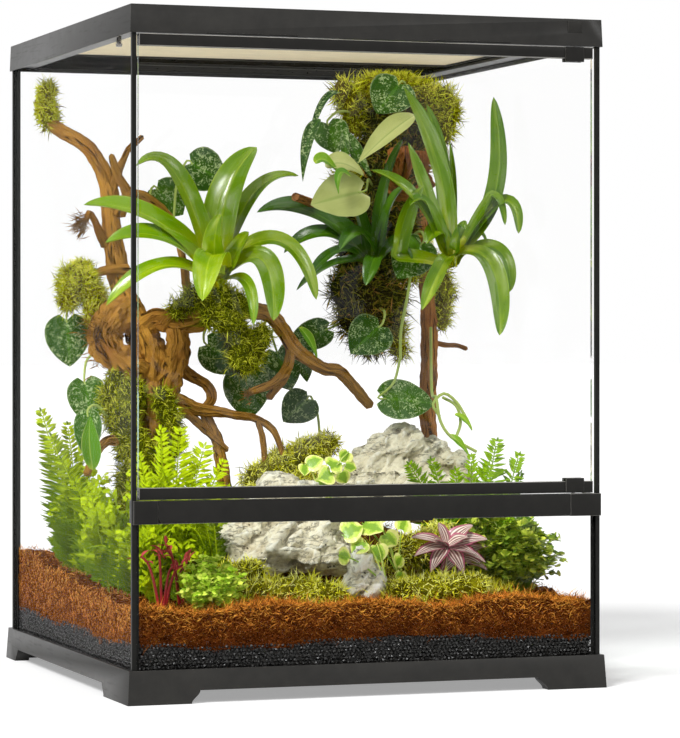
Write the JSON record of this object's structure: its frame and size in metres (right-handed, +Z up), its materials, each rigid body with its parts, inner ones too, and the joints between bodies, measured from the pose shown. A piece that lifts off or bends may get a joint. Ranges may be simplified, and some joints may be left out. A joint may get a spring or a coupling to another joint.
{
  "type": "planted glass terrarium",
  "caption": "Tall front-opening glass terrarium with dark plastic frames, a hinged glass door, a latch bar, a lift-off mesh lid and a planted landscape of roots, rocks, moss and ferns.",
  "frame": {"origin": "on the ground under the middle of the case", "axes": "+Z up, -Y towards the front with the door, +X to the right seen from the front"},
  "size_m": [0.454, 0.454, 0.6126],
  "materials": {
    "frame_plastic": "satin, warm near-black, slightly worn edges",
    "button_plastic": "satin dark grey",
    "case_glass": "clear float glass with a faint green edge",
    "silicone": "soft black silicone",
    "stud_chrome": "polished",
    "pin_steel": "plain bright steel",
    "net_metal": "beige powder coat on a fine wire net",
    "clay_pellets": "black rounded pellets, slightly wet",
    "coco_fibre": "loose orange-brown fibre",
    "stone": "pitted pale grey-beige stone",
    "pale_stone": "pale stone",
    "root_wood": "orange-tan root with dark cracks",
    "post_wood": "ochre bark",
    "dark_fibre": "dark matted fibre",
    "bright_moss": "stringy yellow-green moss",
    "green_moss": "stringy green moss",
    "bromeliad_lime": "glossy lime leaf, yellow at the base",
    "bromeliad_green": "glossy fresh green leaf",
    "dark_leaf": "dark green leaf with a soft shine",
    "silver_leaf": "dark green leaf with silver flecks",
    "fern_green": "fresh green frond",
    "fern_deep": "deeper green frond",
    "bush_green": "small rounded leaves",
    "variegated_leaf": "green leaf with a cream edge",
    "purple_leaf": "purple leaf with pink stripes",
    "red_stem": "red stems and leaves",
    "lime_bush": "small bright round leaves"
  },
  "bodies": {
    "case": {"base_frame": "frame_plastic", "bottom_pane": "case_glass", "back_pane": "case_glass", "left_pane": "case_glass", "right_pane": "case_glass", "front_pane": "case_glass", "corner_seams": "silicone", "inner_seams": "silicone", "top_frame": "frame_plastic", "rear_deck": "frame_plastic", "sill_rail": "frame_plastic", "sill_cap_left": "frame_plastic", "sill_cap_right": "frame_plastic", "flange_stud": "stud_chrome", "drainage_layer": "clay_pellets", "substrate": "coco_fibre", "rock_large": "stone", "rock_front": "stone", "rock_small": "pale_stone", "root_wood": "root_wood", "wood_post": "post_wood", "epiphyte_core": "dark_fibre", "moss_top": "bright_moss", "moss_branch": "bright_moss", "moss_trunk": "green_moss", "moss_ground": "green_moss", "bromeliad_left": "bromeliad_lime", "bromeliad_right": "bromeliad_green", "bromeliad_middle": "dark_leaf", "pothos_left": "silver_leaf", "pothos_centre": "silver_leaf", "pothos_top": "silver_leaf", "fern_left": "fern_green", "fern_front": "fern_deep", "fern_right": "fern_green", "bush_right": "bush_green", "ivy_front": "variegated_leaf", "tradescantia": "purple_leaf", "red_stems": "red_stem", "ground_bush": "lime_bush"},
    "door": {"door_pane": "case_glass", "door_top_rail": "frame_plastic", "door_bottom_rail": "frame_plastic", "hinge_pad_upper": "frame_plastic", "hinge_pad_lower": "frame_plastic", "hinge_pin_upper": "pin_steel", "hinge_pin_lower": "pin_steel", "strike_plate": "pin_steel"},
    "latch": {"latch_bar": "frame_plastic", "latch_pins": "pin_steel", "latch_magnets": "pin_steel"},
    "lid": {"lid_frame": "frame_plastic", "lid_net": "net_metal", "lid_tab": "frame_plastic"},
    "button": {"lid_button": "button_plastic"},
    "shutter_left": {"inlet_shutter_left": "frame_plastic"},
    "shutter_right": {"inlet_shutter_right": "frame_plastic"}
  },
  "joints": [
    {"name": "door_swing", "type": "hinge", "parent": "case", "child": "door", "pos_m": [0.1965, -0.2198, 0], "axis": [0, 0, 1], "range_deg": [0, 110]},
    {"name": "latch_rock", "type": "hinge", "parent": "case", "child": "latch", "pos_m": [0, -0.2239, 0.1644], "axis": [1, 0, 0], "range_deg": [0, 7], "stiffness_Nm_per_rad": 0.05, "springref_deg": -5.73},
    {"name": "lid_lift", "type": "slide", "parent": "case", "child": "lid", "axis": [0, 0, 1], "range_m": [0, 0.12]},
    {"name": "button_press", "type": "slide", "parent": "case", "child": "button", "axis": [0, 1, 0], "range_m": [0, 0.003], "stiffness_N_per_m": 300, "springref_m": -0.001},
    {"name": "shutter_left_slide", "type": "slide", "parent": "case", "child": "shutter_left", "axis": [1, 0, 0], "range_m": [0, 0.045]},
    {"name": "shutter_right_slide", "type": "slide", "parent": "case", "child": "shutter_right", "axis": [-1, 0, 0], "range_m": [0, 0.045]}
  ]
}
